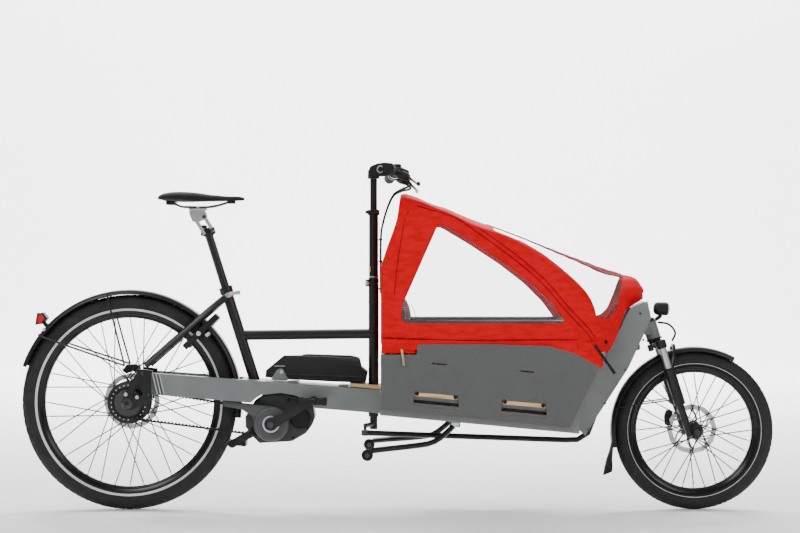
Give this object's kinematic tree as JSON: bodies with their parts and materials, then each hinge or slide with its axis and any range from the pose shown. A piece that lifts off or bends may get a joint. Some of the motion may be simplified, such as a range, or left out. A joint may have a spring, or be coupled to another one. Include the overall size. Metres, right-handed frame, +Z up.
{
  "type": "cargo bicycle",
  "caption": "Front-loading electric cargo bicycle with a low open-topped box, a fabric rain canopy, belt drive, a remote-steered suspension fork and a two-legged stand.",
  "frame": {"origin": "on the ground, midway along and across the bicycle", "axes": "+X forward, +Y to the rider's left, +Z up"},
  "size_m": [2.4, 0.6786, 1.102],
  "materials": {
    "black_frame": "satin",
    "grey_frame": "satin",
    "rubber": "matt",
    "grip_rubber": "matt",
    "rim": "anodised black",
    "steel": "brushed",
    "plastic": "matt",
    "motor_grey": "matt",
    "ply": "oiled",
    "panel": "grey film face",
    "red_fabric": "woven",
    "tartan": "woven check",
    "clear_film": "clear film",
    "lens": "red lens",
    "alloy": "bead blasted",
    "leather": "matt"
  },
  "bodies": {
    "frame": {"main_beam": "grey_frame", "dropout_right": "black_frame", "dropout_left": "black_frame", "seat_tube": "black_frame", "seat_stays": "black_frame", "top_tube": "black_frame", "column_tube": "black_frame", "cargo_frame": "grey_frame", "cargo_tub": "ply", "side_panel_right": "panel", "side_panel_left": "panel", "child_seat": "tartan", "canopy": "red_fabric", "windscreen": "clear_film", "side_window_right": "clear_film", "side_window_left": "clear_film", "canopy_rail": "black_frame", "motor": "motor_grey", "belt_guard": "motor_grey", "belt": "grip_rubber", "rear_fender": "plastic", "rear_light": "lens", "ring_lock": "plastic", "rear_caliper": "plastic", "headlight": "plastic"},
    "battery": {"battery": "plastic"},
    "rear_wheel": {"rear_tyre": "rubber", "rear_rim": "rim", "rear_spokes": "steel", "rear_hub": "plastic"},
    "front_wheel": {"front_tyre": "rubber", "front_rim": "rim", "front_spokes": "steel", "front_hub": "plastic"},
    "rear_sprocket": {"rear_sprocket": "steel"},
    "front_sprocket": {"front_sprocket": "steel"},
    "crank": {"crank_set": "black_frame"},
    "pedal_right": {"pedal_right": "plastic"},
    "pedal_left": {"pedal_left": "plastic"},
    "column": {"steering_column": "black_frame"},
    "bar_set": {"bar_column": "black_frame", "bar_cables": "grip_rubber", "stem": "black_frame", "handlebar": "black_frame", "grip_right": "grip_rubber", "grip_left": "grip_rubber"},
    "brake_lever_right": {"brake_lever_right": "alloy"},
    "brake_lever_left": {"brake_lever_left": "alloy"},
    "tie_rod": {"tie_rod": "black_frame"},
    "fork": {"fork_upper": "black_frame"},
    "lowers": {"fork_lowers": "black_frame", "brake_hose": "grip_rubber", "front_fender": "plastic", "front_caliper": "plastic"},
    "stand": {"stand": "black_frame"},
    "seatpost": {"seatpost": "black_frame"},
    "link_front": {"post_link_front": "alloy"},
    "link_rear": {"post_link_rear": "alloy"},
    "saddle": {"saddle_head": "alloy", "saddle": "leather"}
  },
  "joints": [
    {"name": "rear_wheel_spin", "type": "hinge", "parent": "frame", "child": "rear_wheel", "pos_m": [-0.855, 0, 0.343], "axis": [0, 1, 0], "continuous": true},
    {"name": "front_wheel_spin", "type": "hinge", "parent": "lowers", "child": "front_wheel", "pos_m": [0.949, 0, 0.253], "axis": [0, 1, 0], "continuous": true},
    {"name": "crank_spin", "type": "hinge", "parent": "frame", "child": "crank", "pos_m": [-0.399, 0, 0.277], "axis": [0, 1, 0], "continuous": true},
    {"name": "front_sprocket_spin", "type": "hinge", "parent": "frame", "child": "front_sprocket", "pos_m": [-0.399, 0, 0.277], "axis": [0, 1, 0], "continuous": true},
    {"name": "rear_sprocket_spin", "type": "hinge", "parent": "frame", "child": "rear_sprocket", "pos_m": [-0.855, 0, 0.343], "axis": [0, 1, 0], "continuous": true},
    {"name": "pedal_right_spin", "type": "hinge", "parent": "crank", "child": "pedal_right", "pos_m": [-0.26235, -0.15, 0.35431], "axis": [0, 1, 0], "continuous": true},
    {"name": "pedal_left_spin", "type": "hinge", "parent": "crank", "child": "pedal_left", "pos_m": [-0.53565, 0.15, 0.19969], "axis": [0, 1, 0], "continuous": true},
    {"name": "column_turn", "type": "hinge", "parent": "frame", "child": "column", "pos_m": [-0.075, 0, 0.5], "axis": [0, 0, 1], "range_deg": [-30, 30]},
    {"name": "fork_steer", "type": "hinge", "parent": "frame", "child": "fork", "pos_m": [0.91753, 0, 0.24308], "axis": [-0.3007, 0, 0.9537], "range_deg": [-30, 30]},
    {"name": "tie_rod_swing", "type": "hinge", "parent": "column", "child": "tie_rod", "pos_m": [-0.101, -0.064, 0.25], "axis": [0, 0, 1], "range_deg": [-30, 30]},
    {"name": "fork_travel", "type": "slide", "parent": "fork", "child": "lowers", "axis": [-0.3007, 0, 0.9537], "range_m": [0, 0.025], "stiffness_N_per_m": 15000, "springref_m": -0.02},
    {"name": "bar_height", "type": "slide", "parent": "column", "child": "bar_set", "axis": [0, 0, 1], "range_m": [0, 0.06]},
    {"name": "brake_pull_right", "type": "hinge", "parent": "bar_set", "child": "brake_lever_right", "pos_m": [0.031, -0.177, 1.058], "axis": [-0.455, 0, -0.8905], "range_deg": [0, 14], "stiffness_Nm_per_rad": 2, "springref_deg": -11.46},
    {"name": "brake_pull_left", "type": "hinge", "parent": "bar_set", "child": "brake_lever_left", "pos_m": [0.031, 0.177, 1.058], "axis": [0.455, 0, 0.8905], "range_deg": [0, 14], "stiffness_Nm_per_rad": 2, "springref_deg": -11.46},
    {"name": "stand_swing", "type": "hinge", "parent": "frame", "child": "stand", "pos_m": [0.183, 0, 0.284], "axis": [0, 1, 0], "range_deg": [-50, 0]},
    {"name": "seatpost_height", "type": "slide", "parent": "frame", "child": "seatpost", "axis": [-0.3007, 0, 0.9537], "range_m": [-0.08, 0.06]},
    {"name": "link_front_swing", "type": "hinge", "parent": "seatpost", "child": "link_front", "pos_m": [-0.59, 0, 0.893], "axis": [0, 1, 0], "range_deg": [-25, 0], "stiffness_Nm_per_rad": 60, "springref_deg": 8.59},
    {"name": "link_rear_swing", "type": "hinge", "parent": "seatpost", "child": "link_rear", "pos_m": [-0.618, 0, 0.884], "axis": [0, 1, 0], "range_deg": [-25, 0]},
    {"name": "saddle_level", "type": "hinge", "parent": "link_front", "child": "saddle", "pos_m": [-0.616, 0, 0.935], "axis": [0, 1, 0], "range_deg": [0, 25]},
    {"name": "battery_swing", "type": "hinge", "parent": "frame", "child": "battery", "pos_m": [-0.25, -0.046, 0.405], "axis": [1, 0, 0], "range_deg": [0, 35]}
  ],
  "couplings": [
    {"joint": "fork_steer", "follows": "column_turn", "ratio": 1},
    {"joint": "tie_rod_swing", "follows": "column_turn", "ratio": -1},
    {"joint": "front_sprocket_spin", "follows": "crank_spin", "ratio": 2.5},
    {"joint": "rear_sprocket_spin", "follows": "crank_spin", "ratio": 2.1154},
    {"joint": "link_rear_swing", "follows": "link_front_swing", "ratio": 1},
    {"joint": "saddle_level", "follows": "link_front_swing", "ratio": -1}
  ]
}
